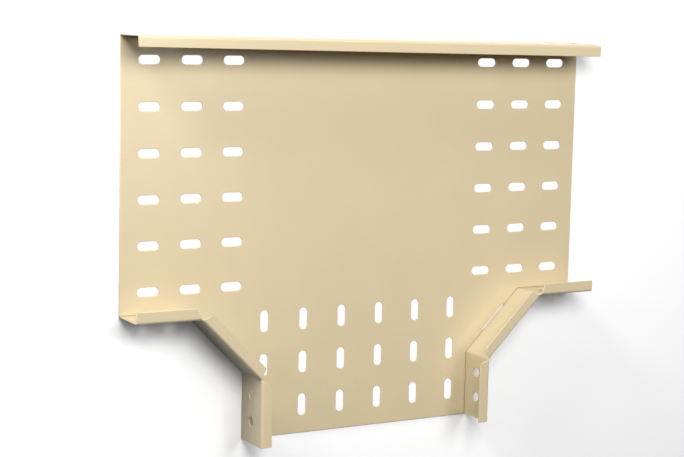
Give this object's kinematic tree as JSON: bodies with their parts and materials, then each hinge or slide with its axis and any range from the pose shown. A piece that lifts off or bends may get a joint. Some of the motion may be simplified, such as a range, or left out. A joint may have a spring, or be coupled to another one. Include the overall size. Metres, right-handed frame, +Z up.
{
  "type": "cable tray tee",
  "caption": "Horizontal tee fitting for perforated cable tray: slotted flat bed, upright side walls with inward return flanges, and 45 degree walls turning into the branch.",
  "frame": {"origin": "where the centrelines of the main run and the branch cross, on the underside of the bed", "axes": "+X along the main run, -Y along the branch, +Z up out of the tray"},
  "size_m": [0.6, 0.4515, 0.05],
  "materials": {
    "powder_coat": "gloss ivory powder coat with light orange peel"
  },
  "bodies": {
    "root": {"bed": "powder_coat", "rail_back": "powder_coat", "rail_left": "powder_coat", "rail_right": "powder_coat"}
  },
  "joints": []
}
